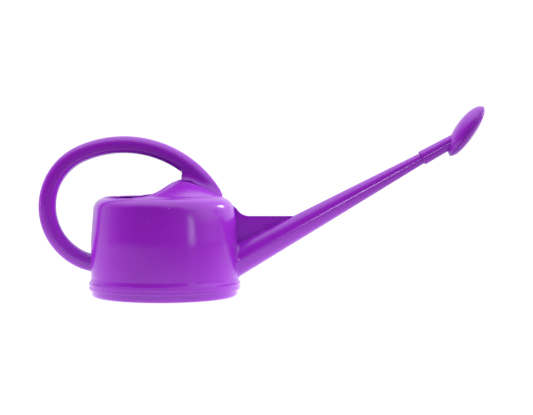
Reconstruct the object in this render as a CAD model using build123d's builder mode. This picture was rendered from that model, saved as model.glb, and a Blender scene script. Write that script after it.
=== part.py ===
"""Long-reach plastic watering can of about five litres, as seven separate mouldings.

Frame: the origin is the centre of the base's underside, +X runs towards the spout, +Z is up.
The can stands on the plane z = 0 and is symmetric about the plane y = 0.  Millimetres, degrees.
"""

import os
from math import asin, cos, degrees, pi, radians, sin, tan

from build123d import *

os.makedirs("parts", exist_ok=True)

# ---------------------------------------------------------------- driving dimensions
SKIN = 2.6  # wall thickness of the tank mouldings
LARGE = 400  # longer than anything it cuts

# Tank: a round drum, upright to WALL_KNEE_Z, then drawn in a little up to the shoulder
WELD_Z = 15.3  # where the tank's flange is welded to the base pan
FLANGE_R = 113.6
FLANGE_TOP_Z = 21.6
FLANGE_EDGE_R = 1
WALL_FOOT_R = 111.9  # the wall's foot spreads a little towards the flange
WALL_FOOT_Z = 22.6
WALL_FLARE_Z = 50
WALL_FLARE_R = 60  # radius of the bend where it starts to spread
WALL_R = 110.2
WALL_KNEE_Z = 84
WALL_TOP_R = 105.2
WALL_KNEE_R = 150  # radius of the gentle bend there
SHOULDER_R = 17
DECK_Z = 148
MOUTH_R = 89.5

# Hood: a shallow cone over the front half, cut to an S-shaped free edge
HOOD_BASE_R = 88.6
HOOD_TOP_R = 12
HOOD_TOP_X = 27
HOOD_TOP_Z = 174.7
HOOD_EDGE_X = 24.2  # highest point of the free edge
EDGE_TOP_R = 22
EDGE_SLOPE = 37
EDGE_RUN = 13.6  # straight stretch between the two arcs
EDGE_LOW_R = 60
EDGE_LOW_Z = 141  # below the deck's underside, so the mouth is cut right through

# Base pan, welded under the tank
PAN_FLANGE_Z = 11.6
PAN_R = 109.6
PAN_EDGE_R = 4
PAN_STEP_R = 0.8
PAN_FLOOR = 3
FOOT_RING_R = 101  # the ring that the can stands on
FOOT_RING_WIDTH = 5
CENTRE_PAD_R = 30
RECESS = 1.2  # depth of the underside between the ring and the centre pad

# Handle: a loop of two tangent arcs in the plane y = 0
GRIP_HALF_WIDTH = 12.5
GRIP_OUT = 13  # from the centreline to the outer crest
GRIP_IN = 12.6  # from the centreline to the inner crown
GRIP_RIDGE = 7.4  # how far in the two edges of the inner face are
GRIP_RIDGE_HALF_WIDTH = 12.2
GRIP_RIDGE_FILLET = 2.4
GRIP_WALL = 3
LOOP_APEX_X = -61
LOOP_APEX_Z = 227.2
LOOP_TOP_R = 157
LOOP_BACK_R = 87
LOOP_TURN = 24.1  # angle past the apex where the top arc meets the back arc
LOOP_LOW_Z = 50.6  # height of the centreline where the lower arm enters the wall
LOOP_FRONT_TURN = 62
HOLLOW_FRONT_TURN = 31  # the hollow stops short of the foot
ARM_END = 10  # straight end of the lower arm, most of it inside the wall
FOOT_BACK_X = 25.7
FOOT_TIP_X = 89
FOOT_TIP_HALF_WIDTH = 2.2
FOOT_MID_X = 56
FOOT_MID_HALF_WIDTH = 9.8
FOOT_LEAF_X = 12  # where the foot starts to narrow

# Spout: a long cone whose axis rises at SPOUT_ANGLE from a point on the z axis
SPOUT_ANGLE = 29.04
SPOUT_AXIS_Z = -7.03
SPOUT_APEX = 625.2  # distance along the axis where the outer cone would end in a point
SPOUT_TAPER = 0.0451  # radius lost per millimetre of length
SPOUT_SKIN = 2.2
SPOUT_START = 95  # inside the tank, where the cone is cut back to the wall
SPOUT_END = 473

# Gusset: a thin web between the wall and the spout
GUSSET_THICK = 5
GUSSET_TOP_Z = 120.5
GUSSET_FLAT_X = 127  # where the flat top turns up towards the shoulder
GUSSET_SWEEP_R = 22
GUSSET_SWEEP = 75
GUSSET_END_X = 196
GUSSET_ROOT = 28  # how far it is drawn into the tank, where the wall cuts it back

# Rose: a hollow oval head on a sleeve, which pushes on to the spout's tip and turns there
SLEEVE_START = 440.9
SLEEVE_END = 499  # inside the head
SLEEVE_MOUTH_R = 10.9
SLEEVE_TAPER = 0.0255
TURN_FIT = 0.06  # radial clearance on the spout's tip
STOP_THICK = 2.5  # ring inside the sleeve, which the spout's tip meets
STOP_BORE_R = 4.6
THROAT_R = 6.2  # way from the stop ring into the head
ROSE_CENTRE = (452.5, 247.5)  # x and z of the rim's centre
ROSE_TILT = 34.05  # the face looks this far below the horizontal
ROSE_HALF_LENGTH = 44.7
ROSE_HALF_WIDTH = 30
ROSE_BACK_DEPTH = 17.4
ROSE_FACE_DEPTH = 11.8
ROSE_SKIN = 2
RIM_THICK = 1.2
RIM_LIP = 0.9  # how far the rim stands out beyond the domes
SPIGOT_DEPTH = 3.5
SPIGOT_SKIN = 1.4
SPIGOT_GAP = 1.3  # between the spigot and the back's skin at the rim
DOME_STEPS = (0, 16, 32, 46, 58, 68, 76, 82)  # angles of the sections that a dome is lofted from
HOLE_R = 0.75
HOLE_RINGS = 5
HOLES_PER_RING = 6  # each ring has this many more than the one inside it
HOLE_FIELD = 0.8  # size of the outermost ring of holes, as a share of the face

# ---------------------------------------------------------------- shared planes and curves
SPOUT_DIR = (cos(radians(SPOUT_ANGLE)), 0, sin(radians(SPOUT_ANGLE)))


def spout_plane(distance):
    """A plane across the spout's axis, this far along it."""
    x, y, z = (distance * part for part in SPOUT_DIR)
    return Plane(origin=(x, y, z + SPOUT_AXIS_Z), x_dir=(0, 1, 0), z_dir=SPOUT_DIR)


def spout_radius(distance):
    return SPOUT_TAPER * (SPOUT_APEX - distance)


FACE_DIR = (cos(radians(ROSE_TILT)), 0, -sin(radians(ROSE_TILT)))
ROSE_PLANE = Plane(
    origin=(ROSE_CENTRE[0], 0, ROSE_CENTRE[1]),
    x_dir=(sin(radians(ROSE_TILT)), 0, cos(radians(ROSE_TILT))),
    z_dir=FACE_DIR,
)


def cone_between(start, start_radius, end, end_radius):
    """A cone about the spout's axis, between two distances along it."""
    with BuildPart() as cone:
        with BuildSketch(spout_plane(start)):
            Circle(start_radius)
        with BuildSketch(spout_plane(end)):
            Circle(end_radius)
        loft(ruled=True)
    return cone.part


def rim_ellipse(shrink, mode=Mode.ADD):
    """The rose's oval outline, this much smaller than its rim all round."""
    Ellipse(ROSE_HALF_LENGTH - shrink, ROSE_HALF_WIDTH - shrink, mode=mode)


def dome(depth, shrink, side):
    """Half an ellipsoid on the rose's rim plane, made smaller all round by a skin."""
    with BuildPart() as half:
        for angle in DOME_STEPS:
            height = (depth - shrink) * sin(radians(angle))
            with BuildSketch(ROSE_PLANE.offset(side * height)):
                Ellipse(
                    (ROSE_HALF_LENGTH - RIM_LIP - shrink) * cos(radians(angle)),
                    (ROSE_HALF_WIDTH - RIM_LIP - shrink) * cos(radians(angle)),
                )
        loft()
    return half.part


def hood_cone(drop):
    """The hood's cone, lowered by this much."""
    with BuildPart() as cone:
        with BuildSketch(Plane.XY.offset(DECK_Z - drop)):
            Circle(HOOD_BASE_R)
        with BuildSketch(Plane.XY.offset(HOOD_TOP_Z - drop)):
            with Locations((HOOD_TOP_X, 0)):
                Circle(HOOD_TOP_R)
        loft(ruled=True)
    return cone.part


# ---------------------------------------------------------------- tank body, before hollowing
with BuildPart() as tank_body:
    with BuildSketch(Plane.XZ):
        with BuildLine():
            FilletPolyline(
                (0, WELD_Z), (FLANGE_R, WELD_Z), (FLANGE_R, FLANGE_TOP_Z), (WALL_FOOT_R, WALL_FOOT_Z),
                (WALL_R, WALL_FLARE_Z), (WALL_R, WALL_KNEE_Z), (WALL_TOP_R, DECK_Z), (0, DECK_Z),
                radius=(0, FLANGE_EDGE_R, FLANGE_EDGE_R, WALL_FLARE_R, WALL_KNEE_R, SHOULDER_R),
            )
            Line((0, DECK_Z), (0, WELD_Z))
        make_face()
    revolve(axis=Axis.Z)
    add(hood_cone(0))

# The filling mouth: all inside MOUTH_R that is above the hood's free edge, which runs from its peak
# down to the lip
with BuildPart() as mouth_cut:
    with BuildSketch(Plane.XZ):
        with BuildLine():
            crest = JernArc((HOOD_EDGE_X, HOOD_TOP_Z), (-1, 0), EDGE_TOP_R, EDGE_SLOPE)
            slope = Line(crest @ 1, crest @ 1 + EDGE_RUN * (crest % 1))
            trough = JernArc(slope @ 1, slope % 1, EDGE_LOW_R, -EDGE_SLOPE)
            Polyline(
                trough @ 1, ((trough @ 1).X, EDGE_LOW_Z), (-LARGE, EDGE_LOW_Z),
                (-LARGE, LARGE), (HOOD_EDGE_X, LARGE), (HOOD_EDGE_X, HOOD_TOP_Z),
            )
        make_face()
    extrude(amount=LARGE, both=True)
    with BuildSketch(Plane.XY.offset(EDGE_LOW_Z)):
        Circle(MOUTH_R)
    extrude(amount=LARGE, mode=Mode.INTERSECT)

# ---------------------------------------------------------------- tank shell
with BuildPart() as tank_cavity:
    with BuildSketch(Plane.XZ):
        with BuildLine():
            FilletPolyline(
                (0, WELD_Z), (WALL_R - SKIN, WELD_Z), (WALL_R - SKIN, WALL_KNEE_Z),
                (WALL_TOP_R - SKIN, DECK_Z - SKIN), (0, DECK_Z - SKIN),
                radius=(0, WALL_KNEE_R, SHOULDER_R - SKIN),
            )
            Line((0, DECK_Z - SKIN), (0, WELD_Z))
        make_face()
    revolve(axis=Axis.Z)
    add(hood_cone(SKIN))

spout_solid = cone_between(SPOUT_START, spout_radius(SPOUT_START), SPOUT_END, spout_radius(SPOUT_END))
spout_bore = cone_between(
    SPOUT_START, spout_radius(SPOUT_START) - SPOUT_SKIN, SPOUT_END, spout_radius(SPOUT_END) - SPOUT_SKIN
)

with BuildPart() as tank_shell:
    add(tank_body)
    add(tank_cavity, mode=Mode.SUBTRACT)
    add(mouth_cut, mode=Mode.SUBTRACT)
    add(spout_bore, mode=Mode.SUBTRACT)
tank_shell.part.label = "tank_shell"
export_step(tank_shell.part, "parts/tank_shell.step")

# ---------------------------------------------------------------- base pan
with BuildPart() as base_pan:
    with BuildSketch(Plane.XZ):
        with BuildLine():
            FilletPolyline(
                (0, 0), (PAN_R, 0), (PAN_R, PAN_FLANGE_Z), (FLANGE_R, PAN_FLANGE_Z), (FLANGE_R, WELD_Z),
                (PAN_R - SKIN, WELD_Z), (PAN_R - SKIN, PAN_FLOOR + RECESS), (0, PAN_FLOOR + RECESS),
                radius=(PAN_EDGE_R, PAN_STEP_R, PAN_STEP_R, 0, 0, PAN_EDGE_R),
            )
            Line((0, PAN_FLOOR + RECESS), (0, 0))
        make_face()
        with Locations(((CENTRE_PAD_R + FOOT_RING_R - FOOT_RING_WIDTH) / 2, RECESS / 2)):
            Rectangle(FOOT_RING_R - FOOT_RING_WIDTH - CENTRE_PAD_R, RECESS, mode=Mode.SUBTRACT)
    revolve(axis=Axis.Z)
base_pan.part.label = "base_pan"
export_step(base_pan.part, "parts/base_pan.step")

# ---------------------------------------------------------------- handle
def towards(angle):
    """The unit vector in the plane y = 0 that points this far above +X."""
    return Vector(cos(radians(angle)), 0, sin(radians(angle)))


top_centre = Vector(LOOP_APEX_X, 0, LOOP_APEX_Z - LOOP_TOP_R)
join_angle = 90 + LOOP_TURN
back_centre = top_centre + (LOOP_TOP_R - LOOP_BACK_R) * towards(join_angle)
arm_angle = 180 + degrees(asin((back_centre.Z - LOOP_LOW_Z) / LOOP_BACK_R))
arm_start = back_centre + LOOP_BACK_R * towards(arm_angle)


def loop_line(front_turn):
    """The loop's centreline, from this angle in front of the apex round to the lower arm's end."""
    with BuildLine(Plane.XZ) as line:
        CenterArc(top_centre, LOOP_TOP_R, 90 - front_turn, front_turn + LOOP_TURN)
        CenterArc(back_centre, LOOP_BACK_R, join_angle, arm_angle - join_angle)
        Line(arm_start, arm_start + ARM_END * towards(arm_angle + 90))
    return line.line


def grip_face(path, shrink):
    """The grip's D-shaped section at the start of a path, its flatter side to the hand gap."""
    ridge = (GRIP_RIDGE_HALF_WIDTH - shrink, GRIP_RIDGE - shrink / 2)
    with BuildSketch(Plane(origin=path @ 0, x_dir=(0, 1, 0), z_dir=path % 0)) as section:
        with BuildLine():
            crest = EllipticalCenterArc(
                (0, 0), GRIP_HALF_WIDTH - shrink, GRIP_OUT - shrink, start_angle=180, arc_size=180
            )
            Line(crest @ 1, ridge)
            crown = ThreePointArc(ridge, (0, GRIP_IN - shrink), (-ridge[0], ridge[1]))
            Line(crown @ 1, crest @ 0)
        make_face()
        fillet(section.vertices().group_by(Axis.Y)[-1], radius=GRIP_RIDGE_FILLET)
    return section.sketch


with BuildPart() as grip_hollow:
    hollow = loop_line(HOLLOW_FRONT_TURN)
    sweep(sections=grip_face(hollow, GRIP_WALL), path=hollow)

with BuildPart() as handle:
    loop = loop_line(LOOP_FRONT_TURN)
    sweep(sections=grip_face(loop, 0), path=loop)
    # The foot: a web under the front of the loop, which narrows to a leaf's point on the hood
    with BuildSketch(Plane.XZ):
        with Locations((FOOT_BACK_X, DECK_Z)):
            Rectangle(LARGE, LARGE, align=(Align.MIN, Align.MIN))
        with Locations((top_centre.X, top_centre.Z)):
            Circle(LOOP_TOP_R, mode=Mode.INTERSECT)
    extrude(amount=GRIP_HALF_WIDTH, both=True)
    with BuildSketch(Plane.XY):
        with BuildLine():
            leaf = ThreePointArc(
                (FOOT_LEAF_X, GRIP_HALF_WIDTH), (FOOT_MID_X, FOOT_MID_HALF_WIDTH),
                (FOOT_TIP_X, FOOT_TIP_HALF_WIDTH),
            )
            Polyline(
                leaf @ 1, (LARGE, FOOT_TIP_HALF_WIDTH), (LARGE, LARGE), (FOOT_LEAF_X, LARGE), leaf @ 0
            )
        make_face()
        mirror(about=Plane.XZ)
    extrude(amount=LARGE, mode=Mode.SUBTRACT)
    add(tank_body, mode=Mode.SUBTRACT)
    add(grip_hollow, mode=Mode.SUBTRACT)
handle.part.label = "handle"
export_step(handle.part, "parts/handle.step")

# ---------------------------------------------------------------- spout and its gusset
with BuildPart() as spout:
    add(spout_solid)
    add(spout_bore, mode=Mode.SUBTRACT)
    add(tank_body, mode=Mode.SUBTRACT)
spout.part.label = "spout"
export_step(spout.part, "parts/spout.step")


def axis_height(x):
    return SPOUT_AXIS_Z + x * tan(radians(SPOUT_ANGLE))


with BuildPart() as spout_gusset:
    with BuildSketch(Plane.XZ):
        with BuildLine():
            flat = Line((GUSSET_END_X, GUSSET_TOP_Z), (GUSSET_FLAT_X, GUSSET_TOP_Z))
            rise = JernArc(flat @ 1, flat % 1, GUSSET_SWEEP_R, -GUSSET_SWEEP)
            inner_x = (rise @ 1).X - GUSSET_ROOT
            Polyline(
                rise @ 1, (inner_x, (rise @ 1).Y), (inner_x, axis_height(inner_x)),
                (GUSSET_END_X, axis_height(GUSSET_END_X)), flat @ 0,
            )
        make_face()
    extrude(amount=GUSSET_THICK / 2, both=True)
    add(spout_solid, mode=Mode.SUBTRACT)
    add(tank_body, mode=Mode.SUBTRACT)
spout_gusset.part.label = "spout_gusset"
export_step(spout_gusset.part, "parts/spout_gusset.step")

# ---------------------------------------------------------------- rose
with BuildPart() as rose_back:
    add(dome(ROSE_BACK_DEPTH, 0, -1))
    sleeve_end_r = SLEEVE_MOUTH_R - SLEEVE_TAPER * (SLEEVE_END - SLEEVE_START)
    add(cone_between(SLEEVE_START, SLEEVE_MOUTH_R, SLEEVE_END, sleeve_end_r))
    with BuildSketch(ROSE_PLANE):
        rim_ellipse(0)
    extrude(amount=-RIM_THICK)
    add(dome(ROSE_BACK_DEPTH, ROSE_SKIN, -1), mode=Mode.SUBTRACT)
    with BuildSketch(ROSE_PLANE):
        Circle(LARGE)
    extrude(amount=LARGE, mode=Mode.SUBTRACT)
    tip_start_r = spout_radius(SLEEVE_START) + TURN_FIT
    tip_end_r = spout_radius(SPOUT_END) + TURN_FIT
    add(cone_between(SLEEVE_START, tip_start_r, SPOUT_END, tip_end_r), mode=Mode.SUBTRACT)
    stop_end = SPOUT_END + STOP_THICK
    add(cone_between(SPOUT_END, STOP_BORE_R, stop_end, STOP_BORE_R), mode=Mode.SUBTRACT)
    add(cone_between(stop_end, THROAT_R, SLEEVE_END, THROAT_R), mode=Mode.SUBTRACT)
rose_back.part.label = "rose_back"
export_step(rose_back.part, "parts/rose_back.step")

with BuildPart() as rose_face:
    add(dome(ROSE_FACE_DEPTH, 0, 1))
    with BuildSketch(ROSE_PLANE):
        rim_ellipse(0)
    extrude(amount=RIM_THICK)
    add(dome(ROSE_FACE_DEPTH, ROSE_SKIN, 1), mode=Mode.SUBTRACT)
    with BuildSketch(ROSE_PLANE.offset(RIM_THICK)):
        rim_ellipse(RIM_LIP + ROSE_SKIN / 2)
        rim_ellipse(RIM_LIP + ROSE_SKIN + SPIGOT_GAP + SPIGOT_SKIN, mode=Mode.SUBTRACT)
    extrude(amount=-RIM_THICK)
    with BuildSketch(ROSE_PLANE):
        rim_ellipse(RIM_LIP + ROSE_SKIN + SPIGOT_GAP)
        rim_ellipse(RIM_LIP + ROSE_SKIN + SPIGOT_GAP + SPIGOT_SKIN, mode=Mode.SUBTRACT)
    extrude(amount=-SPIGOT_DEPTH)
    holes = [(0, 0)]
    for ring in range(1, HOLE_RINGS + 1):
        share = HOLE_FIELD * ring / HOLE_RINGS
        for step in range(HOLES_PER_RING * ring):
            turn = 2 * pi * step / (HOLES_PER_RING * ring)
            holes.append((share * ROSE_HALF_LENGTH * cos(turn), share * ROSE_HALF_WIDTH * sin(turn)))
    with BuildSketch(ROSE_PLANE):
        with Locations(*holes):
            Circle(HOLE_R)
    extrude(amount=ROSE_FACE_DEPTH + RIM_THICK, mode=Mode.SUBTRACT)
rose_face.part.label = "rose_face"
export_step(rose_face.part, "parts/rose_face.step")
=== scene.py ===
# %% [markdown]
# # A long-reach watering can
# The real can is a set of polypropylene mouldings: a drum-shaped tank with a hood over the front half of
# its filling mouth, a base pan welded under it, a looped handle, a long tapering spout with a web below the
# shoulder, and an oval rose in two halves that pushes on to the spout's tip. Each one is its own mesh here,
# because a part that is moulded alone has its own edges, its own thickness and its own seam lines.
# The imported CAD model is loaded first. It fixes the frame: metres, +X to the spout, +Z up.

# %% Load the fixed frame
import math

import bmesh
import bpy
import numpy as np
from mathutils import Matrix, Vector, noise


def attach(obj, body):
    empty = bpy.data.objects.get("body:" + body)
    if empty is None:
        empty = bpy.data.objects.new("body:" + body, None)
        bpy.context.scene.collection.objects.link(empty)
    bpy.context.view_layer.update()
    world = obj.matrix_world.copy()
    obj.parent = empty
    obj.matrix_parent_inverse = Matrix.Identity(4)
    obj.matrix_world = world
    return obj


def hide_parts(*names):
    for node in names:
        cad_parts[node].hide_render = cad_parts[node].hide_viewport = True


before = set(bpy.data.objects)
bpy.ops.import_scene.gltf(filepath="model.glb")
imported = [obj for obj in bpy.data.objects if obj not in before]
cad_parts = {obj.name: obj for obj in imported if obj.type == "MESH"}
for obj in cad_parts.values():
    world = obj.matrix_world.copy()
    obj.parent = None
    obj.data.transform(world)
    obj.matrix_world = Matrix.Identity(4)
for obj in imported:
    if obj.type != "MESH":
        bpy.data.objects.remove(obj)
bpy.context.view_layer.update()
MM = 0.001

# %% [markdown]
# ## Two ways to make a surface
# Nearly every piece of this can is a tube of some kind: rings of points that follow each other, joined by
# four-sided faces. A primitive with modifiers would do for a plain drum, but a loft of rings also takes a
# mouth that is not round, a handle whose section changes, and a root that follows a curved wall.
# The few places where one shape cuts through another use an exact boolean instead.

# %% A loft of rings, and a boolean
SHARP_ANGLE = math.radians(38)  # edges that turn more than this stay crisp


def loft(name, rings, loop=False):
    """A closed mesh from rings of points in millimetres. A loop joins the last ring to the first; otherwise
    the first and last rings are closed with a face."""
    rings = np.asarray(rings, float)
    rows, columns = rings.shape[:2]
    mesh = bpy.data.meshes.new(name)
    faces = []
    for i in range(rows if loop else rows - 1):
        a, b = i * columns, (i + 1) % rows * columns
        for j in range(columns):
            k = (j + 1) % columns
            faces.append((a + j, a + k, b + k, b + j))
    if not loop:
        faces.append(tuple(reversed(range(columns))))
        faces.append(tuple(range((rows - 1) * columns, rows * columns)))
    mesh.from_pydata((rings.reshape(-1, 3) * MM).tolist(), [], faces)
    piece = bpy.data.objects.new(name, mesh)
    bpy.context.scene.collection.objects.link(piece)
    tidy_faces(piece)
    return piece


def tidy_faces(piece):
    """Outward normals, smooth shading, crisp edges where the surface really turns."""
    edit = bmesh.new()
    edit.from_mesh(piece.data)
    bmesh.ops.dissolve_degenerate(edit, edges=edit.edges, dist=1e-7)
    bmesh.ops.recalc_face_normals(edit, faces=edit.faces)
    edit.to_mesh(piece.data)
    edit.free()
    piece.data.shade_smooth()
    piece.data.set_sharp_from_angle(angle=SHARP_ANGLE)


def combine(piece, tool, operation):
    """Joins the tool to the piece (UNION) or cuts it away (DIFFERENCE), then throws the tool away."""
    cut = piece.modifiers.new("cut", "BOOLEAN")
    cut.object, cut.operation, cut.solver = tool, operation, "EXACT"
    view = bpy.context.evaluated_depsgraph_get()
    done = bpy.data.meshes.new_from_object(piece.evaluated_get(view))
    piece.modifiers.clear()
    old, piece.data = piece.data, done
    done.name = piece.name
    bpy.data.meshes.remove(old)
    bpy.data.objects.remove(tool)
    tidy_faces(piece)


def measured(piece):
    """Prints a piece's size in millimetres, as a check on the shape just made."""
    size = [round(v / MM, 1) for v in piece.dimensions]
    print(piece.name, "size in mm:", size, "faces:", len(piece.data.polygons))


# %% [markdown]
# ## The outline of a lathe-turned part
# A mould for a round tank is turned on a lathe, so its outline is a line of straight runs with a rounded
# corner between each two. One function rounds every corner of such a line by its own radius.

# %% Round the corners of an outline
CORNER_STEPS = 8


def rounded(corners, radii):
    """The points of a line through the corners, each inner corner rounded by its radius."""
    corners = [np.array(c, float) for c in corners]
    points = [corners[0]]
    for before, corner, after, radius in zip(corners, corners[1:], corners[2:], radii):
        back, on = before - corner, after - corner
        back, on = back / np.linalg.norm(back), on / np.linalg.norm(on)
        half = math.acos(np.clip(back @ on, -1, 1)) / 2
        if radius == 0:
            points.append(corner)
            continue
        reach = radius / math.tan(half)
        middle = corner + (back + on) / np.linalg.norm(back + on) * radius / math.sin(half)
        first, last = corner + back * reach - middle, corner + on * reach - middle
        turn = math.acos(np.clip(first @ last / radius**2, -1, 1))
        for step in range(CORNER_STEPS + 1):
            share = step / CORNER_STEPS
            arm = (math.sin((1 - share) * turn) * first + math.sin(share * turn) * last) / math.sin(turn)
            points.append(middle + arm)
    points.append(corners[-1])
    return np.array(points)


def smooth_step(value, low, high):
    share = np.clip((np.asarray(value, float) - low) / (high - low), 0, 1)
    return share * share * (3 - 2 * share)


# %% [markdown]
# ## Tank: the drum, its shoulder and the hood
# The wall stands upright, draws in a little from mid height and turns over a soft shoulder. At the front
# the shoulder is drawn in more, where the hood comes down to meet it. The hood is a shallow leaning cone,
# and the mouth is what remains open behind its S-shaped free edge. A thick rolled lip runs round the whole
# opening, because a thin moulded edge would crack there and would be sharp to pour into.
# The top could be cut with booleans, but then the lip would need a second mesh. Here each ray from the
# centre carries one closed section, so the lip, the inner wall and the changing mouth are one clean grid.

# %% Heights of the tank's top
WELD_Z, FLANGE_R, FLANGE_TOP_Z = 15.3, 113.6, 21.6
WALL_R, WALL_KNEE_Z, WALL_TOP_R, DECK_Z = 110.2, 84, 105.2, 148
SHOULDER_R, SKIN, MOUTH_R = 17, 2.6, 89.5
SHOULDER_CENTRE_Z = DECK_Z - SHOULDER_R
HOOD_BASE_R, HOOD_TOP_R, HOOD_TOP_X, HOOD_TOP_Z = 88.6, 12, 27, 174.7
FLARE, FLARE_TOP_Z = 1.7, 27  # the wall's foot spreads a little towards its flange
HOOD_BLEND = 4  # mm over which the hood's foot runs into the deck
FRONT_DRAW = 4.4  # mm by which the front of the shoulder is drawn in
FRONT_DRAW_LOW, FRONT_DRAW_HIGH = 116, 146


def wall_radius(z):
    """Outer radius of the tank's wall at a height, before the front is drawn in."""
    lean = np.maximum(np.asarray(z, float) - WALL_KNEE_Z, 0) / (DECK_Z - WALL_KNEE_Z)
    return WALL_R - (WALL_R - WALL_TOP_R) * lean


def front_draw(angle, z):
    return FRONT_DRAW * np.maximum(np.cos(angle), 0) ** 1.3 * smooth_step(z, FRONT_DRAW_LOW, FRONT_DRAW_HIGH)


def hood_height(x, y):
    """Height of the leaning cone over a point; outside its foot it falls away."""
    rise, run = HOOD_TOP_Z - DECK_Z, HOOD_BASE_R - HOOD_TOP_R
    # |point - HOOD_TOP_X * t| = HOOD_BASE_R - run * t, solved for the share t of the way up
    a = HOOD_TOP_X**2 - run**2
    b = -2 * x * HOOD_TOP_X + 2 * HOOD_BASE_R * run
    c = x * x + y * y - HOOD_BASE_R**2
    t = (-b + np.sqrt(np.maximum(b * b - 4 * a * c, 0))) / (2 * a)
    height = DECK_Z + rise * np.minimum(t, 1)
    return np.where(t < 0, DECK_Z + 3 * rise * t, height)


def top_height(x, y):
    """Height of the tank's top skin: deck and shoulder, with the hood blended on to them."""
    radius, angle = np.hypot(x, y), np.arctan2(y, x)
    out = np.clip(radius + front_draw(angle, DECK_Z) - MOUTH_R, 0, SHOULDER_R - 0.5)
    deck = SHOULDER_CENTRE_Z + np.sqrt(SHOULDER_R**2 - out**2)
    hood = hood_height(x, y)
    near = np.maximum(HOOD_BLEND - np.abs(deck - hood), 0)
    return np.maximum(deck, hood) + near**2 / (4 * HOOD_BLEND)


print("top of the tank at the back, the middle and the front:",
      [round(float(top_height(x, 0.0)), 1) for x in (-89, 25, 86)])

# %% Where the mouth ends on every ray
PEAK_X, EDGE_TOP_R, EDGE_SLOPE, EDGE_RUN, EDGE_LOW_R = 24.2, 22, math.radians(37), 13.6, 60
RAYS = 360
SMOOTHED_RAYS = 9  # the mouth's corners are rounded off by a mean over this many rays


def free_edge():
    """The hood's S-shaped edge from its peak down to the deck, as x and z."""
    points = []
    for turn in np.linspace(0, EDGE_SLOPE, 16):
        points.append((PEAK_X - EDGE_TOP_R * math.sin(turn), HOOD_TOP_Z - EDGE_TOP_R * (1 - math.cos(turn))))
    x, z = points[-1]
    x, z = x - EDGE_RUN * math.cos(EDGE_SLOPE), z - EDGE_RUN * math.sin(EDGE_SLOPE)
    for turn in np.linspace(EDGE_SLOPE, 0, 20):
        points.append((x - EDGE_LOW_R * (math.sin(EDGE_SLOPE) - math.sin(turn)),
                       z - EDGE_LOW_R * (math.cos(turn) - math.cos(EDGE_SLOPE))))
    return np.array(points)


def mouth_radii(angles):
    """The opening's radius on each ray: the S-edge in front, the round mouth behind."""
    x, z = free_edge()[::-1].T
    reach = np.arange(PEAK_X - 1, MOUTH_R, 0.05)
    radius = []
    for cosine, sine in zip(np.cos(angles), np.sin(angles)):
        edge_height = np.interp(reach * cosine, x, z, left=DECK_Z)
        edge_height = np.where(reach * cosine < PEAK_X, edge_height, HOOD_TOP_Z + 1)
        under_the_edge = edge_height >= top_height(reach * cosine, reach * sine)
        radius.append(reach[np.argmax(under_the_edge)] if under_the_edge.any() else MOUTH_R)
    radius = np.array(radius)
    window = np.hanning(SMOOTHED_RAYS) / np.hanning(SMOOTHED_RAYS).sum()
    half = SMOOTHED_RAYS // 2
    wrapped = np.concatenate([radius[-half:], radius, radius[:half]])
    return np.convolve(wrapped, window, "valid")


ray_angles = np.linspace(0, 2 * math.pi, RAYS, endpoint=False)
ray_mouths = mouth_radii(ray_angles)
print("mouth radius in mm in front, at the side and behind:",
      [round(float(ray_mouths[i]), 1) for i in (0, RAYS // 4, RAYS // 2)])

# %% Section of the tank on one ray, and the loft
LIP_R, LIP_RISE, LIP_FOOT = 1.7, 1.2, 4.6
LIP_FRONT_SHARE, LIP_FRONT_TURN, LIP_BACK_TURN = 0.35, 1.1, 2.1  # the lip stands lower in front, in radians
LIP_ROLL_START, LIP_ROLL_END = math.radians(90), math.radians(285)
LIP_STEPS, TOP_STEPS = 9, 26
SHOULDER_CUT_R = 95  # the lathe outline hands over to the top's own rows here
ROW_LENGTH = 7  # no face of the wall is taller than this

lathe_out = rounded(
    [(WALL_R - SKIN, WELD_Z), (FLANGE_R, WELD_Z), (FLANGE_R, FLANGE_TOP_Z),
     (WALL_R + FLARE, FLANGE_TOP_Z + 1), (WALL_R, FLARE_TOP_Z), (WALL_R, WALL_KNEE_Z),
     (WALL_TOP_R, DECK_Z), (MOUTH_R, DECK_Z)],
    [0.5, 1.0, 1.0, 12, 150, SHOULDER_R],
)
lathe_in = rounded(
    [(WALL_R - SKIN, WELD_Z), (WALL_R - SKIN, WALL_KNEE_Z), (WALL_TOP_R - SKIN, DECK_Z - SKIN),
     (MOUTH_R - SKIN, DECK_Z - SKIN)],
    [150, SHOULDER_R - SKIN],
)


def denser(points, longest):
    """The same line with extra points, so that no run is longer than this."""
    filled = [points[0]]
    for a, b in zip(points, points[1:]):
        pieces = max(1, math.ceil(np.linalg.norm(b - a) / longest))
        filled += [a + (b - a) * k / pieces for k in range(1, pieces + 1)]
    return np.array(filled)


def keep_low(points):
    """The part of an outline that lies outside the top's own rows."""
    return denser(points[(points[:, 0] > SHOULDER_CUT_R + 0.3) | (points[:, 1] < WALL_KNEE_Z)], ROW_LENGTH)


lathe_out, lathe_in = keep_low(lathe_out), keep_low(lathe_in)


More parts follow.
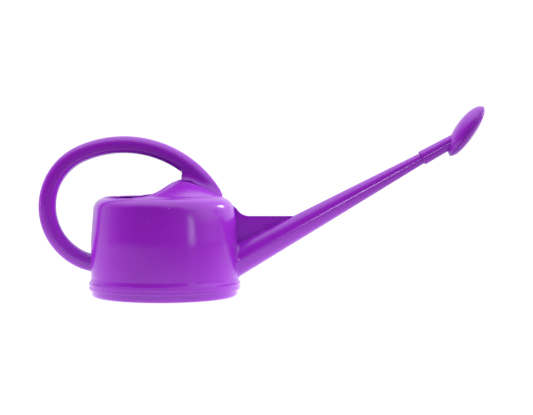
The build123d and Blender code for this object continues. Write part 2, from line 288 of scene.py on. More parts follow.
def tank_section(angle, mouth):
    """The closed section on one ray, as x, y, z: up the outside, over the lip, back under the skin."""
    across = np.array((math.cos(angle), math.sin(angle)))

    def place(radius, z):
        return np.column_stack([np.outer(radius, across), z])

    def drawn(line):
        return place(line[:, 0] - front_draw(angle, line[:, 1]), line[:, 1])

    start = SHOULDER_CUT_R - front_draw(angle, DECK_Z)
    turn = abs(math.remainder(angle, 2 * math.pi))
    rise = LIP_RISE * float(
        LIP_FRONT_SHARE + (1 - LIP_FRONT_SHARE) * smooth_step(turn, LIP_FRONT_TURN, LIP_BACK_TURN))
    lip_centre = mouth + LIP_R
    share = (1 - np.cos(np.linspace(0, math.pi, TOP_STEPS + 2)[1:-1])) / 2
    radius = start + (lip_centre - start) * share
    height = top_height(*(radius * part for part in across)) + rise * (
        1 - smooth_step(radius - mouth, LIP_R, LIP_FOOT))
    lip_z = float(top_height(*(lip_centre * across))) + rise - LIP_R
    roll = np.linspace(LIP_ROLL_START, LIP_ROLL_END, LIP_STEPS)
    lip = place(lip_centre + LIP_R * np.cos(roll), lip_z + LIP_R * np.sin(roll))
    under = radius[::-1][1:]
    under_height = top_height(*(under * part for part in across)) - SKIN
    return np.vstack([drawn(lathe_out), place(radius, height), lip,
                      place(under, np.minimum(under_height, lip_z + LIP_R - SKIN + 0.6)),
                      drawn(lathe_in)[::-1]])


sections = [tank_section(angle, mouth) for angle, mouth in zip(ray_angles, ray_mouths)]
tank_shell = loft("tank_shell_moulding", sections, loop=True)
measured(tank_shell)

# %% [markdown]
# ## Spout: a long cone with a hollow bore
# The spout is one slim cone from the foot of the wall to the rose, drawn off a tapered core, so its bore
# tapers too. A stock cone could be cut to the wall with a boolean, but the cut edge would be knife sharp.
# Here each line along the cone is started where it meets the wall, and a small flare is added there,
# which is the fillet that a moulder leaves so that the root does not crack.

# %% The spout's axis
SPOUT_ANGLE = math.radians(29.04)
SPOUT_ORIGIN = np.array((0, 0, -7.03))
ALONG = np.array((math.cos(SPOUT_ANGLE), 0, math.sin(SPOUT_ANGLE)))
ABOVE = np.array((-math.sin(SPOUT_ANGLE), 0, math.cos(SPOUT_ANGLE)))
ASIDE = np.array((0, 1, 0))
SPOUT_END, SPOUT_SKIN = 473, 2.2
ROUND = 96  # points round the spout and the sleeve


def spout_radius(distance):
    return 0.0451 * (625.2 - distance)


def around_axis(distance, radius, turn):
    """The point at this distance along the spout's axis, this far from it, at this turn about it."""
    return SPOUT_ORIGIN + distance * ALONG + radius * (math.cos(turn) * ABOVE + math.sin(turn) * ASIDE)


def wall_gap(point, inset):
    """How far a point stands outside the tank's wall."""
    x, y, z = point
    wall = wall_radius(z) - front_draw(math.atan2(y, x), z) - inset
    return math.hypot(x, y) - wall


def root_distance(turn, inside, inset):
    """Where a line along the spout meets the wall, found by halving."""
    low, high = 60.0, 200.0
    for _ in range(30):
        middle = (low + high) / 2
        outside = wall_gap(around_axis(middle, spout_radius(middle) - inside, turn), inset) > 0
        low, high = (low, middle) if outside else (middle, high)
    return high


# %% Loft the spout
ROOT_FLARE, ROOT_FLARE_LENGTH, ROOT_BURY = 2.4, 6.5, 1.3
turns = np.linspace(0, 2 * math.pi, ROUND, endpoint=False)


def spout_ring(share, inside, roots, flare=True, trim=0.0):
    ring = []
    for turn, root in zip(turns, roots):
        distance = root + (SPOUT_END - root) * share
        near = max(0.0, 1 - (distance - root) / ROOT_FLARE_LENGTH)
        radius = spout_radius(distance) - inside - trim + (ROOT_FLARE * near**2 if flare else 0)
        ring.append(around_axis(distance, radius, turn))
    return ring


outer_roots = [root_distance(turn, 0, ROOT_BURY) for turn in turns]
inner_roots = [root_distance(turn, SPOUT_SKIN, SKIN - 0.3) for turn in turns]
near_root = [0, 0.002, 0.004, 0.007, 0.010, 0.014, 0.018, 0.024]
along_rest = list(np.linspace(0.035, 0.996, 44))
rings = [spout_ring(share, 0, outer_roots) for share in near_root + along_rest]
rings += [spout_ring(0.9985, 0, outer_roots, trim=0.15), spout_ring(1.0, 0, outer_roots, trim=0.6)]
rings += [spout_ring(1.0, SPOUT_SKIN, inner_roots, flare=False)]
rings += [spout_ring(share, SPOUT_SKIN, inner_roots, flare=False)
          for share in reversed([0.0] + along_rest[::4])]
spout = loft("spout_cone", rings, loop=True)
measured(spout)

# %% Open the wall into the spout
BORE_START, BORE_END = 88, 150  # along the axis, from inside the tank to outside its wall
bore_length = np.linspace(BORE_START, BORE_END, 8)
bore = loft("bore_tool", [
    [around_axis(d, spout_radius(d) - SPOUT_SKIN - 0.2, turn) for turn in turns] for d in bore_length])
combine(tank_shell, bore, "DIFFERENCE")
measured(tank_shell)

# %% [markdown]
# ## Base pan and weld
# The pan is a second round moulding. Its flange meets the tank's flange, and the two are joined by hot-plate
# welding, which squeezes out an uneven thread of plastic. That thread is its own small mesh: a ring whose
# thickness wanders with noise, with a few blobs, because a perfect ring would look turned, not welded.

# %% Turn the base pan
PAN_R, PAN_FLANGE_Z, PAN_FLOOR, RECESS = 109.6, 11.6, 3, 1.2
FOOT_RING_OUT, FOOT_RING_IN, CENTRE_PAD_R = 101, 96, 30
PAN_ROW_LENGTH = 8

pan_outline = rounded(
    [(1, 0), (CENTRE_PAD_R, 0), (CENTRE_PAD_R + 1.2, RECESS), (FOOT_RING_IN - 1.2, RECESS), (FOOT_RING_IN, 0),
     (FOOT_RING_OUT, 0), (FOOT_RING_OUT + 2, 0.5), (PAN_R, 0.9), (PAN_R, PAN_FLANGE_Z),
     (FLANGE_R, PAN_FLANGE_Z), (FLANGE_R, WELD_Z), (PAN_R - SKIN, WELD_Z),
     (PAN_R - SKIN, PAN_FLOOR + RECESS), (1, PAN_FLOOR + RECESS)],
    [0.5, 0.5, 0.5, 0.5, 0.8, 1.5, 5.2, 0.9, 0.9, 0.4, 0.4, 4],
)
pan_outline = denser(pan_outline, PAN_ROW_LENGTH)


def turned(name, outline):
    """A lathe-turned piece: the outline carried once round the z axis."""
    across = np.column_stack([np.cos(ray_angles), np.sin(ray_angles)])
    return loft(name, [np.column_stack([radius * across, np.full(RAYS, z)]) for radius, z in outline])


base_pan = turned("base_pan_moulding", pan_outline)
measured(base_pan)

# %% The squeezed-out weld
WELD_ROUND = 8
WELD_HALF, WELD_PROUD = 0.42, 0.30  # the thread's usual half height, and how far it stands out
BLOB_LEVEL, BLOB_SIZE = 0.38, 2.6  # noise above this level swells into a blob


def weld_section(angle):
    """A small ring of points whose size wanders along the seam."""
    at = Vector((math.cos(angle) * 6, math.sin(angle) * 6, 0.4))
    wander = noise.fractal(at, 1.0, 2.0, 4)
    blob = max(0.0, noise.noise(at * 5.5) - BLOB_LEVEL) * BLOB_SIZE
    half_height = WELD_HALF + 0.16 * wander + 0.5 * blob
    proud = WELD_PROUD + 0.22 * wander + blob
    points = []
    for step in range(WELD_ROUND):
        turn = 2 * math.pi * step / WELD_ROUND
        radius = FLANGE_R - 0.2 + (proud + 0.2) * math.cos(turn)
        z = WELD_Z + 0.25 * noise.noise(at * 2.2) + half_height * math.sin(turn)
        points.append((radius * math.cos(angle), radius * math.sin(angle), z))
    return points


weld_angles = np.linspace(0, 2 * math.pi, 2 * RAYS, endpoint=False)
weld_flash = loft("weld_flash", [weld_section(angle) for angle in weld_angles], loop=True)
measured(weld_flash)

# %% [markdown]
# ## Handle: a loop with a D-shaped section
# The grip is round on the outside, where it meets the palm, and flatter inside, with a soft ridge down each
# edge. In front it grows into a foot that stands on the hood and narrows to a leaf's point; at the back it
# comes round to a short arm into the wall. A bevelled curve gives one section all the way, so the loop is
# lofted from rings that can change: each has its own inner depth, and the foot's points are held on the hood.

# %% One half of the grip's section
LOOP_CENTRE, LOOP_R = np.array((-61.0, 70.2)), 157
BACK_CENTRE, BACK_R = np.array((-89.58, 134.10)), 87
GRIP_HALF, GRIP_OUT, GRIP_IN, GRIP_CROWN = 12.5, 13, 12.6, 5.2
ARM_DEEPER = 1.0  # the back of the loop is this much deeper inside
RIDGE_HALF, RIDGE_ROUND = 12.2, 1.5


def grip_half(depth, crown, ridge_round):
    """Half a section from the outer crest to the inner crown, as (share of half width, out)."""
    turn = np.linspace(0, math.pi / 2, 15)
    crest = np.column_stack([np.sin(turn), GRIP_OUT * np.cos(turn)])
    ridge = np.array((RIDGE_HALF / GRIP_HALF, -(depth - crown)))
    side = np.array((1.0, 0.0))
    length = max(np.linalg.norm((ridge - side) * (GRIP_HALF, 1)), 1e-6)
    turn_in = side + (ridge - side) * max(0.0, 1 - ridge_round / length)
    flank = side + (turn_in - side) * np.sin(np.linspace(0, math.pi / 2, 13))[1:, None]
    across = ridge[0] - ridge_round / GRIP_HALF
    after = np.array((across, -depth + crown * (across / ridge[0]) ** 2))
    share = np.linspace(0, 1, 8)[1:, None]
    bend = (1 - share) ** 2 * turn_in + 2 * share * (1 - share) * ridge + share**2 * after
    inner = across * np.linspace(1, 0, 9)[1:]
    crown_line = np.column_stack([inner, -depth + crown * (inner / ridge[0]) ** 2])
    return np.vstack([crest, flank, bend, crown_line])


print("points in half a section:", len(grip_half(GRIP_IN, GRIP_CROWN, RIDGE_ROUND)))

# %% The foot on the hood
FOOT_BACK_X, FOOT_TIP_ANGLE, FOOT_SINK = 25.7, 62.0, 1.2
LEAF_X, LEAF_HALF = (12, 30, 45, 56, 68, 78, 85, 89, 92), (12.5, 12.1, 11.1, 9.8, 7.6, 5.2, 3.2, 2.0, 1.4)
FOOT_FLARE, FOOT_FLARE_HEIGHT = 4.2, 12.0
FOOT_SINE = 0.55  # the foot starts where the sine of the angle in front of the apex passes this


def inner_depth(angle):
    """From the loop's centreline to the foot's inner side, along a ray at this angle before the apex."""
    sine = math.sin(math.radians(angle))
    depth = GRIP_IN
    if sine > FOOT_SINE:
        depth = max(GRIP_IN, LOOP_R - (FOOT_BACK_X - LOOP_CENTRE[0]) / sine)
    for reach in np.linspace(LOOP_R + GRIP_OUT, LOOP_R - depth, 120):
        x = LOOP_CENTRE[0] + reach * sine
        z = LOOP_CENTRE[1] + reach * math.cos(math.radians(angle))
        if x > FOOT_BACK_X - 0.5 and z < float(top_height(x, 0.0)) - FOOT_SINK:
            return max(1.0, LOOP_R - reach)
    return depth


def on_the_hood(points):
    """Flares a foot's points out just above the hood, and holds the rest just under its skin."""
    shaped = []
    for x, y, z in points:
        y *= np.interp(x, LEAF_X, LEAF_HALF) / GRIP_HALF
        above = z - float(top_height(x, y))
        if above < FOOT_FLARE_HEIGHT and x > FOOT_BACK_X + 1:
            low = 1 - max(above, 0) / FOOT_FLARE_HEIGHT
            y += math.copysign(FOOT_FLARE, y) * low**2 * min(1, abs(y) / 2)
        if x > FOOT_BACK_X - 0.5:
            z = max(z, float(top_height(x, y)) - FOOT_SINK)
        shaped.append((x, y, z))
    return shaped


def handle_ring(centre, outward, depth, crown, ridge_round, foot=False):
    half = grip_half(depth, crown, ridge_round)
    both = np.vstack([half, half[-2:0:-1] * (-1, 1)])
    points = [(centre[0] + out * outward[0], side * GRIP_HALF, centre[1] + out * outward[1])
              for side, out in both]
    return on_the_hood(points) if foot else points


# %% Loft the handle
FOOT_START, FOOT_SQUARE = 34, 39  # degrees in front of the apex where the inner side turns flat
TOP_END, BACK_START, BACK_END = -24.1, 114.1, 253.7  # degrees where one arc hands over to the next

handle_rings = []
top_angles = list(np.arange(FOOT_TIP_ANGLE, FOOT_START, -0.5))
top_angles += list(np.arange(FOOT_START, TOP_END, -2)) + [TOP_END]
for angle in top_angles:
    outward = np.array((math.sin(math.radians(angle)), math.cos(math.radians(angle))))
    square = float(smooth_step(angle, FOOT_START, FOOT_SQUARE))
    handle_rings.append(handle_ring(
        LOOP_CENTRE + LOOP_R * outward, outward, inner_depth(angle),
        GRIP_CROWN * (1 - square), RIDGE_ROUND - 0.7 * square, foot=angle > 10))
for angle in np.linspace(BACK_START, BACK_END, 62)[1:]:
    outward = np.array((math.cos(math.radians(angle)), math.sin(math.radians(angle))))
    depth = GRIP_IN + ARM_DEEPER * float(smooth_step(angle, 140, 200))
    handle_rings.append(
        handle_ring(BACK_CENTRE + BACK_R * outward, outward, depth, GRIP_CROWN, RIDGE_ROUND))

# %% End the lower arm in the wall
ARM_WALL_INSET, ARM_FLARE, ARM_FLARE_LENGTH = 1.2, 1.6, 4.0
arm_way = np.array((0.9599, 0, -0.2805))
last_ring = np.array(handle_rings[-1])


def to_the_wall(point):
    """The distance from a point to just inside the wall, along the arm."""
    low, high = -40.0, 60.0
    for _ in range(30):
        middle = (low + high) / 2
        x, y, z = point + middle * arm_way
        outside = math.hypot(x, y) > wall_radius(z) - ARM_WALL_INSET
        low, high = (middle, high) if outside else (low, middle)
    return high


def before_wall(ring):
    """True if every point of a ring is still clear of the wall's flare."""
    return min(to_the_wall(np.array(point)) for point in ring) > ARM_FLARE_LENGTH + 1


while not before_wall(handle_rings[-1]):
    handle_rings.pop()
last_ring = np.array(handle_rings[-1])
reaches = np.array([to_the_wall(point) for point in last_ring])
for share in (0.25, 0.5, 0.7, 0.8, 0.87, 0.92, 0.96, 1.0):
    ring = last_ring + (reaches * share)[:, None] * arm_way
    left = reaches * (1 - share)
    flare = ARM_FLARE * np.maximum(0, 1 - left / ARM_FLARE_LENGTH) ** 2
    centre = ring.mean(axis=0)
    away = ring - centre
    away -= np.outer(away @ arm_way, arm_way)
    away /= np.linalg.norm(away, axis=1)[:, None]
    handle_rings.append(ring + flare[:, None] * away)
handle = loft("handle_loop", handle_rings)
measured(handle)

# %% [markdown]
# ## Gusset
# A thin web fills the angle between the shoulder and the spout, so that the long spout cannot whip. Its free
# edge is flat, then sweeps up the wall. Each ring of this loft is one upright slice of the web, with a
# rounded top edge and a small flare where it runs on to the spout.

# %% Loft the gusset
WEB_HALF, WEB_TOP_Z, WEB_EDGE_R = 2.5, 120.5, 1.1
WEB_FRONT_X, WEB_SWEEP_X, WEB_SWEEP_R, WEB_SWEEP_TURN = 197, 127, 22, math.radians(60)
WEB_WALL_TOPS = [(104.5, 134.4), (101.2, 137.6)]  # the free edge's last points, inside the wall
WEB_WALL_X = 108.6  # where the lower edge ends, inside the wall
WEB_FLARE, WEB_FLARE_HEIGHT, WEB_SHORT = 1.3, 3.4, 20  # slices under WEB_SHORT are too low for a full flare


def web_top():
    """The free edge from the spout back to the wall, as x and z."""
    flat = [(x, WEB_TOP_Z) for x in np.linspace(WEB_FRONT_X, WEB_SWEEP_X, 24)]
    sweep = [(WEB_SWEEP_X - WEB_SWEEP_R * math.sin(turn), WEB_TOP_Z + WEB_SWEEP_R * (1 - math.cos(turn)))
             for turn in np.linspace(0, WEB_SWEEP_TURN, 13)[1:]]
    return flat + sweep + WEB_WALL_TOPS


def spout_crest(x):
    """Height of the spout's upper side over a point on the x axis."""
    distance = x / math.cos(SPOUT_ANGLE)
    for _ in range(10):
        distance = (x + spout_radius(distance) * math.sin(SPOUT_ANGLE)) / math.cos(SPOUT_ANGLE)
    return float(around_axis(distance, spout_radius(distance), 0)[2])


def web_slice(top, bottom):
    """A closed slice of the web between a top point and a bottom point."""
    top, bottom = np.array(top, float), np.array(bottom, float)
    length = np.linalg.norm(top - bottom)
    down = (bottom - top) / length
    sides = []
    for turn in np.linspace(0, math.pi / 2, 6):
        side = WEB_HALF - WEB_EDGE_R + WEB_EDGE_R * math.sin(turn)
        sides.append((side, WEB_EDGE_R * (1 - math.cos(turn))))
    run = max(length - WEB_EDGE_R, 0.2)
    for share in (0.3, 0.6, 0.8):
        sides.append((WEB_HALF, WEB_EDGE_R + run * share))
    for left in (WEB_FLARE_HEIGHT, 2.6, 1.9, 1.3, 0.8, 0.0):
        left = min(left, run * 0.15) if run < WEB_SHORT else left
        flare = WEB_FLARE * (1 - left / WEB_FLARE_HEIGHT) ** 2 if run >= WEB_SHORT else 0.4
        sides.append((WEB_HALF + flare, WEB_EDGE_R + run - left))
    loop = [(side, depth) for side, depth in sides] + [(-side, depth) for side, depth in reversed(sides)]
    return [(top[0] + down[0] * depth, side, top[1] + down[1] * depth) for side, depth in loop]


top_line = web_top()
lengths = np.concatenate([[0], np.cumsum([math.dist(a, b) for a, b in zip(top_line, top_line[1:])])])
slices = []
for place, (x, z) in zip(lengths / lengths[-1], top_line):
    low_x = WEB_FRONT_X + (WEB_WALL_X - WEB_FRONT_X) * place
    low_z = min(spout_crest(low_x) - 1.0, z - 0.6)
    slices.append(web_slice((x, z), (low_x, low_z)))
gusset = loft("gusset_web", slices)
measured(gusset)

# %% [markdown]
# ## Rose: two shallow domes on a sleeve
# The back of the rose and its sleeve are one moulding, which pushes over the spout's tip. The face is a
# second, flatter dome with rings of small holes, snapped in at the rim. Both rims are rounded, so a dark
# groove shows between them. The domes are lofted ellipses; the sleeve, the bores and the holes are cut in
# with booleans, which is how the shapes meet on the real part: along a crisp line.

# %% Domes on the rim's plane
ROSE_CENTRE = np.array((452.5, 0, 247.5))
TILT = math.radians(34.05)
FACE_WAY = np.array((math.cos(TILT), 0, -math.sin(TILT)))
LONG_WAY = np.array((math.sin(TILT), 0, math.cos(TILT)))
ROSE_LONG, ROSE_WIDE, BACK_DEPTH, FACE_DEPTH, ROSE_SKIN = 44.7, 30, 17.4, 11.8, 2
RIM_LIP = 0.9
RIM_ROWS = ((0.7, 0.12), (0.22, 0.28), (0, 0.6), (0.12, 0.95), (0.5, 1.18), (0.95, 1.3))  # inset, height
RIPPLE_START, RIPPLE_END, RIPPLE_PITCH = 0.80, 0.965, 0.055  # rings in the face, as shares of its radius
ROSE_ROUND = 160


def oval(shrink, share, height):
    """An oval on the rim's plane: its outline less a margin, a share of that, this far along the face."""
    ring = []
    for step in range(ROSE_ROUND):
        turn = 2 * math.pi * step / ROSE_ROUND
        ring.append(ROSE_CENTRE + height * FACE_WAY
                    + (ROSE_LONG - shrink) * share * math.cos(turn) * LONG_WAY
                    + (ROSE_WIDE - shrink) * share * math.sin(turn) * ASIDE)
    return ring


def dome(name, depth, shrink, side, rim, ripple=0.0):
    """Half an ellipsoid as a solid, with an optional rounded rim round its foot."""
    rings = []
    if rim:
        rings += [oval(inset, 1, side * height) for inset, height in RIM_ROWS]
    else:
        rings += [oval(shrink, 1, -side * 2.0)]
    low = 6 if rim else 0
    for angle in np.linspace(low, 88.5, 46):
        beta = math.radians(angle)
        share = math.cos(beta)
        height = (depth - (0 if rim else ROSE_SKIN)) * math.sin(beta)
        if RIPPLE_START < share < RIPPLE_END:
            height += ripple * max(0.0, math.sin((share - RIPPLE_START) * 2 * math.pi / RIPPLE_PITCH))
        rings.append(oval(RIM_LIP + (0 if rim else shrink), share, side * height))
    return loft(name, rings)


def cone_solid(name, steps):
    """A solid about the spout's axis from (distance, radius) steps."""
    return loft(name, [[around_axis(d, r, turn) for turn in turns] for d, r in steps])


# %% The back of the rose and its sleeve
SLEEVE_START, SLEEVE_R, SLEEVE_TAPER = 440.9, 10.9, 0.0255
PUSH_FIT = 0.06  # room between the spout's tip and the sleeve's bore
STOP_R, STOP_LENGTH, BORE_R = 4.6, 2.5, 6.2  # a small step stops the spout's tip; the bore widens behind it


def sleeve_radius(distance):
    return SLEEVE_R - SLEEVE_TAPER * (distance - SLEEVE_START)


rose_back = dome("rose_back_moulding", BACK_DEPTH, 0, -1, rim=True)
sleeve = cone_solid("sleeve_tool", [
    (SLEEVE_START, SLEEVE_R - 0.55), (SLEEVE_START + 0.15, SLEEVE_R - 0.22), (SLEEVE_START + 0.5, SLEEVE_R)]
    + [(d, sleeve_radius(d)) for d in np.linspace(443, 497, 12)])
hollow = dome("inner_tool", BACK_DEPTH, ROSE_SKIN, -1, rim=False)
combine(rose_back, sleeve, "UNION")
combine(rose_back, hollow, "DIFFERENCE")
beyond_the_rim = loft("front_tool", [oval(-9, 1, 0.12), oval(-9, 1, 60)])
combine(rose_back, beyond_the_rim, "DIFFERENCE")
tip_bore = cone_solid("tip_tool", [
    (SLEEVE_START - 1, spout_radius(SLEEVE_START) + 0.75),
    (SLEEVE_START + 0.6, spout_radius(SLEEVE_START) + 0.6),
    (SLEEVE_START + 2.2, spout_radius(SLEEVE_START + 2.2) + PUSH_FIT),
    (SPOUT_END, spout_radius(SPOUT_END) + PUSH_FIT),
    (SPOUT_END + 0.01, STOP_R), (SPOUT_END + STOP_LENGTH, STOP_R),
    (SPOUT_END + STOP_LENGTH + 0.01, BORE_R), (501, BORE_R)])
combine(rose_back, tip_bore, "DIFFERENCE")
measured(rose_back)

# %% The face and its holes
HOLE_R, HOLE_RINGS, HOLE_FIELD = 0.75, 5, 0.8
HOLE_ROUND = 12  # points round a hole
rose_face = dome("rose_face_moulding", FACE_DEPTH, 0, 1, rim=True, ripple=0.28)
combine(rose_face, dome("face_tool", FACE_DEPTH, ROSE_SKIN, 1, rim=False), "DIFFERENCE")
hole_spots = [(0.0, 0.0)]
for ring in range(1, HOLE_RINGS + 1):
    share = HOLE_FIELD * ring / HOLE_RINGS
    for step in range(6 * ring):
        turn = 2 * math.pi * step / (6 * ring)
        hole_spots.append((share * ROSE_LONG * math.cos(turn), share * ROSE_WIDE * math.sin(turn)))

drills = bmesh.new()
for along, aside in hole_spots:
    ends = []
    for height in (-1.0, FACE_DEPTH + 3):
        ends.append([drills.verts.new(MM * (
            ROSE_CENTRE + height * FACE_WAY
            + (along + HOLE_R * math.cos(k * 2 * math.pi / HOLE_ROUND)) * LONG_WAY
            + (aside + HOLE_R * math.sin(k * 2 * math.pi / HOLE_ROUND)) * ASIDE)) for k in range(HOLE_ROUND)])
    for k in range(HOLE_ROUND):
        after = (k + 1) % HOLE_ROUND
        drills.faces.new((ends[0][k], ends[0][after], ends[1][after], ends[1][k]))
    drills.faces.new(list(reversed(ends[0])))
    drills.faces.new(ends[1])
bmesh.ops.recalc_face_normals(drills, faces=drills.faces)
drill_mesh = bpy.data.meshes.new("drill_tool")
drills.to_mesh(drill_mesh)
drills.free()
drill_tool = bpy.data.objects.new("drill_tool", drill_mesh)
bpy.context.scene.collection.objects.link(drill_tool)
combine(rose_face, drill_tool, "DIFFERENCE")
measured(rose_face)
print("holes in the face:", len(hole_spots))

# %% [markdown]
# ## Material: injection-moulded polypropylene
# Garden cans are moulded in polypropylene with the pigment all through, so there is no paint film to chip.
# The mould is polished but not to a mirror: highlights are clear with soft edges, which is a roughness a
# little under 0.2, and the plastic's own IOR is 1.49. What makes it look like plastic and not enamel is
# fine: a slight orange peel about 4 mm across from the mould, broad clouds where the melt flowed, a gloss
# that wanders where hands have been, and a few specks of dust.

# %% Colours and a node helper
def linear(code):
    """A colour written as sRGB hex, turned to linear for the shader."""
    parts = [int(code[i:i + 2], 16) / 255 for i in (1, 3, 5)]
    return [p / 12.92 if p <= 0.04045 else ((p + 0.055) / 1.055) ** 2.4 for p in parts] + [1.0]


def add_node(tree, kind, links=None, **settings):
    """Adds a node, sets its properties or its input sockets by name, and links the given inputs."""
    node = tree.nodes.new(kind)
    for key, value in settings.items():
        if hasattr(node, key):
            setattr(node, key, value)
        else:
            node.inputs[key.replace("_", " ")].default_value = value
    for key, socket in (links or {}).items():
        tree.links.new(socket, node.inputs[key])
    return node


def mixed(tree, share, first, second):
    """A colour mixed from two, each a linear colour or a socket; returns the result's socket."""
    mix = add_node(tree, "ShaderNodeMix", data_type="RGBA", clamp_factor=True)
    tree.links.new(share, mix.inputs["Factor"])
    sockets = [socket for socket in mix.inputs if socket.type == "RGBA"]
    for socket, value in zip(sockets, (first, second)):
        if isinstance(value, list):
            socket.default_value = value
        else:
            tree.links.new(value, socket)
    return [socket for socket in mix.outputs if socket.type == "RGBA"][0]


DUST, EMPTY_CELLS = "#ead5f2", 0.9  # the dust's colour, and the share of cells without a speck
POLYPROPYLENE_IOR = 1.49


def moulded_polypropylene(name, deep, pale, roughness):
    """Purple polypropylene as it leaves a polished mould, with the marks of use."""
    material = bpy.data.materials.new(name)
    material.use_nodes = True
    tree = material.node_tree
    tree.nodes.clear()
    place = add_node(tree, "ShaderNodeTexCoord").outputs["Object"]
    # the melt's flow: broad, low-contrast clouds about 60 mm across
    flow = add_node(tree, "ShaderNodeTexNoise", {"Vector": place}, Scale=16.0, Detail=3.0, Roughness=0.5)
    tint = mixed(tree, flow.outputs["Fac"], linear(deep), linear(pale))
    # dust specks about 1 mm across, in one of every ten cells of 14 mm
    cells = add_node(tree, "ShaderNodeTexVoronoi", {"Vector": place}, Scale=70.0, Randomness=1.0)
    near = add_node(tree, "ShaderNodeMapRange", {"Value": cells.outputs["Distance"]},
                    From_Min=0.06, From_Max=0.035, To_Min=0.0, To_Max=0.5)
    chosen = add_node(tree, "ShaderNodeSeparateColor", {"Color": cells.outputs["Color"]})
    few = add_node(tree, "ShaderNodeMath", {0: chosen.outputs["Red"]}, operation="GREATER_THAN")
    few.inputs[1].default_value = EMPTY_CELLS
    speck = add_node(tree, "ShaderNodeMath", {0: near.outputs["Result"], 1: few.outputs["Value"]},
                     operation="MULTIPLY")
    dusty = mixed(tree, speck.outputs["Value"], tint, linear(DUST))
    # handling makes the gloss wander a little, in patches about 25 mm across
    wear = add_node(tree, "ShaderNodeTexNoise", {"Vector": place}, Scale=40.0, Detail=4.0, Roughness=0.6)
    shine = add_node(tree, "ShaderNodeMapRange", {"Value": wear.outputs["Fac"]},
                     From_Min=0.3, From_Max=0.7, To_Min=roughness - 0.015, To_Max=roughness + 0.03)
    # orange peel from the mould, about 4 mm across and under a hundredth of a millimetre deep
    peel = add_node(tree, "ShaderNodeTexNoise", {"Vector": place}, Scale=240.0, Detail=1.0, Roughness=0.4)
    bump = add_node(tree, "ShaderNodeBump", {"Height": peel.outputs["Fac"]}, Strength=0.3, Distance=0.00002)
    shader = add_node(tree, "ShaderNodeBsdfPrincipled", {
        "Base Color": dusty, "Roughness": shine.outputs["Result"], "Normal": bump.outputs["Normal"]})
    shader.inputs["IOR"].default_value = POLYPROPYLENE_IOR
    shader.inputs["Metallic"].default_value = 0.0
    add_node(tree, "ShaderNodeOutputMaterial", {"Surface": shader.outputs["BSDF"]})
    return material


purple_polypropylene = moulded_polypropylene("polypropylene_purple", "#891db4", "#911fbd", 0.18)
print("material:", purple_polypropylene.name)

# %% Give every piece its body, its CAD node and its finish
PIECES = (
    (tank_shell, "can", ["tank_shell"]), (base_pan, "can", ["base_pan"]), (weld_flash, "can", []),
    (handle, "can", ["handle"]), (spout, "can", ["spout"]), (gusset, "can", ["spout_gusset"]),
    (rose_back, "rose", ["rose_back"]), (rose_face, "rose", ["rose_face"]),
)
for piece, body, nodes in PIECES:
    piece.data.materials.clear()
    piece.data.materials.append(purple_polypropylene)
    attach(piece, body)
    if nodes:
        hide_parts(*nodes)
    print(piece.name, "rides on", body)
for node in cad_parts.values():
    node.data.materials.clear()
    node.data.materials.append(purple_polypropylene)

# %% [markdown]
# ## Studio
# The can stands on a white sweep: to the camera the floor and the room behind it are equally bright, so
# there is no horizon and hardly a shadow. What the plastic reflects is darker on the camera's side, and
# that gives the front of the drum its deep colour and lets the softboxes draw their highlights.
# Each strength below goes smoothly from one value to another with a direction or a distance in metres.

# %% Floor and room light
def falls_off(tree, value, low, high, from_value, to_value):
    """A number that goes smoothly from one value to another as another number rises."""
    return add_node(tree, "ShaderNodeMapRange", {"Value": value}, interpolation_type="SMOOTHSTEP",
                    From_Min=low, From_Max=high, To_Min=from_value, To_Max=to_value).outputs["Result"]


def blend(tree, share, first, second):
    """A number mixed from two, by a share; the second is a plain number."""
    mix = add_node(tree, "ShaderNodeMix", {"Factor": share, "A": first})
    mix.inputs["B"].default_value = second
    return mix.outputs["Result"]


def seen_or_lit(tree, seen, lit):
    """One strength where the surface itself is looked at, another where it lights or is reflected."""
    return blend(tree, add_node(tree, "ShaderNodeLightPath").outputs["Is Camera Ray"], lit, seen)


FLOOR_SEEN, ROOM_SEEN = 0.97, 1.06  # both show as plain white
floor_mesh = bpy.data.meshes.new("floor")
floor_mesh.from_pydata([(-9, -9, 0), (9, -9, 0), (9, 9, 0), (-9, 9, 0)], [], [(0, 1, 2, 3)])
floor = bpy.data.objects.new("floor", floor_mesh)
floor.location.z = -0.0004
bpy.context.scene.collection.objects.link(floor)
floor_paint = bpy.data.materials.new("white_floor")
floor_paint.use_nodes = True
floor_tree = floor_paint.node_tree
floor_tree.nodes.clear()
spot = add_node(floor_tree, "ShaderNodeTexCoord").outputs["Object"]
# the floor's painted glow stands for a white table that ends about a metre in front and to the right, where
# the darker room starts
DARK_WAY = (0.6, -0.8, 0)
towards = add_node(floor_tree, "ShaderNodeVectorMath", {0: spot}, operation="DOT_PRODUCT")
towards.inputs[1].default_value = DARK_WAY
painted_floor_glow = falls_off(floor_tree, towards.outputs["Value"], 0.55, 0.92, 0.62, 0.05)
# and the painted glow is brightest round the can
away = add_node(floor_tree, "ShaderNodeVectorMath", {0: spot}, operation="LENGTH")
painted_floor_glow = blend(floor_tree, falls_off(floor_tree, away.outputs["Value"], 0.20, 0.60, 1.0, 0.0), painted_floor_glow, 1.4)
# painted light: the floor glows plain white to the camera, and by the strength above where it lights the can
# or shows in it
glow = add_node(floor_tree, "ShaderNodeEmission", {"Strength": seen_or_lit(floor_tree, FLOOR_SEEN, painted_floor_glow)},
                Color=linear("#ffffff"))
diffuse = add_node(floor_tree, "ShaderNodeBsdfDiffuse", Color=linear("#5a5a5a"))
both = add_node(floor_tree, "ShaderNodeAddShader", {0: diffuse.outputs[0], 1: glow.outputs[0]})
add_node(floor_tree, "ShaderNodeOutputMaterial", {"Surface": both.outputs[0]})
floor_mesh.materials.append(floor_paint)

world = bpy.data.worlds.new("white_sweep")
bpy.context.scene.world = world
world.use_nodes = True
room = world.node_tree
room.nodes.clear()
way = add_node(room, "ShaderNodeTexCoord").outputs["Generated"]
axes = add_node(room, "ShaderNodeSeparateXYZ", {"Vector": way})


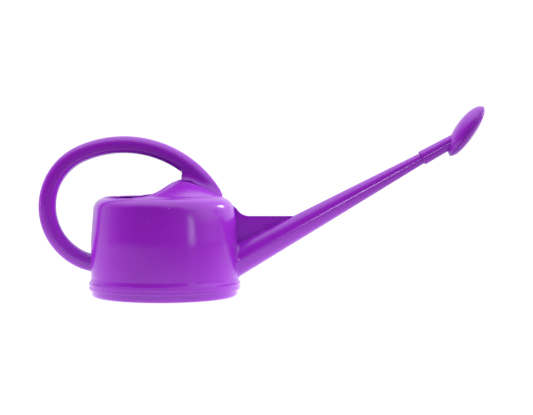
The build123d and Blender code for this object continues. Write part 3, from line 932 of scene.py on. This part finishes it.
def facing(direction, low, high):
    """From 0 to 1 as the view turns to this direction; low and high are cosines."""
    dot = add_node(room, "ShaderNodeVectorMath", {0: way}, operation="DOT_PRODUCT")
    dot.inputs[1].default_value = direction
    return falls_off(room, dot.outputs["Value"], low, high, 0.0, 1.0)


# the walls, left to right; then the bright sweep behind, and the ceiling
strength = falls_off(room, axes.outputs["X"], -0.7, 0.7, 0.40, 0.15)
strength = blend(room, falls_off(room, axes.outputs["Y"], 0.05, 0.6, 0.0, 1.0), strength, 1.05)
strength = blend(room, falls_off(room, axes.outputs["Z"], 0.50, 0.95, 0.0, 1.0), strength, 2.0)
# a broad glow high on the right, and the dark side of the room
strength = blend(room, facing((0.77, -0.10, 0.63), 0.72, 0.95), strength, 1.7)
strength = blend(room, facing((-0.46, -0.885, 0.06), 0.40, 0.86), strength, 0.03)
light = add_node(room, "ShaderNodeBackground", {"Strength": seen_or_lit(room, ROOM_SEEN, strength)},
                 Color=linear("#ffffff"))
add_node(room, "ShaderNodeOutputWorld", {"Surface": light.outputs[0]})
print("the floor looks", FLOOR_SEEN, "bright and the room", ROOM_SEEN)


# %% [markdown]
# ## Softboxes
# Glossy plastic shows what it mirrors, so each highlight is one lamp: a window's shine on the drum, a small
# lamp's on the shoulder, and a thin line along the spout, from a strip that lights only spout and rose.
# The fill lights aren't mirrored: they brighten the sides and the top and draw no highlight.

# %% Set the lamps
def softbox(name, spot, aim, width, height, power, mirrored=True, only=()):
    """A rectangular studio light at a spot, turned to an aim point, in metres and watts. If it isn't
    mirrored, it lights without a highlight; if it is for only some pieces, the others don't see it."""
    lamp = bpy.data.lights.new(name, "AREA")
    lamp.shape, lamp.size, lamp.size_y, lamp.energy = "RECTANGLE", width, height, power
    box = bpy.data.objects.new(name, lamp)
    bpy.context.scene.collection.objects.link(box)
    box.location = spot
    box.rotation_euler = (Vector(aim) - Vector(spot)).to_track_quat("-Z", "Y").to_euler()
    box.visible_glossy = mirrored
    if only:
        box.light_linking.receiver_collection = bpy.data.collections.new(name + "_lights")
        for piece in only:
            box.light_linking.receiver_collection.objects.link(piece)
    return box


DRUM_SIDE = (0, 0, 0.09)  # the fills aim at the middle of the drum
softbox("window_right_front", (1.75, -1.70, 0.32), (0, 0, 0.11), 0.36, 0.42, 2.0)
softbox("lamp_right_back", (1.43, 0.88, 0.91), (0.09, -0.05, 0.14), 0.20, 0.14, 6)
softbox("fill_left", (-1.48, 0.26, 0.25), DRUM_SIDE, 0.6, 0.6, 15, mirrored=False)
softbox("fill_right", (1.36, 0.63, 0.30), DRUM_SIDE, 0.6, 0.6, 14, mirrored=False)
softbox("fill_top", (0.05, -0.25, 1.6), (0.05, 0, 0.15), 0.6, 0.6, 6, mirrored=False)
softbox("strip_along_spout", (0.61, -1.92, 0.205), (0.38, 0, 0.204), 0.32, 0.16, 4,
        only=(spout, rose_back, rose_face))

# %% Camera
CAMERA_AT, CAMERA_AIM = (0.1527, -1.917, 0.203), (0.1527, 0, 0.1331)  # level with the handle, a long lens
camera_data = bpy.data.cameras.new("camera")
camera_data.lens, camera_data.sensor_width = 86.3, 36
camera = bpy.data.objects.new("camera", camera_data)
camera.location = CAMERA_AT
camera.rotation_euler = (Vector(CAMERA_AIM) - camera.location).to_track_quat("-Z", "Y").to_euler()
bpy.context.scene.collection.objects.link(camera)
bpy.context.scene.camera = camera
bpy.context.scene.view_settings.view_transform = "Standard"
bpy.context.scene.view_settings.look = "None"
print("camera at", CAMERA_AT, "with a lens of", camera_data.lens, "mm")
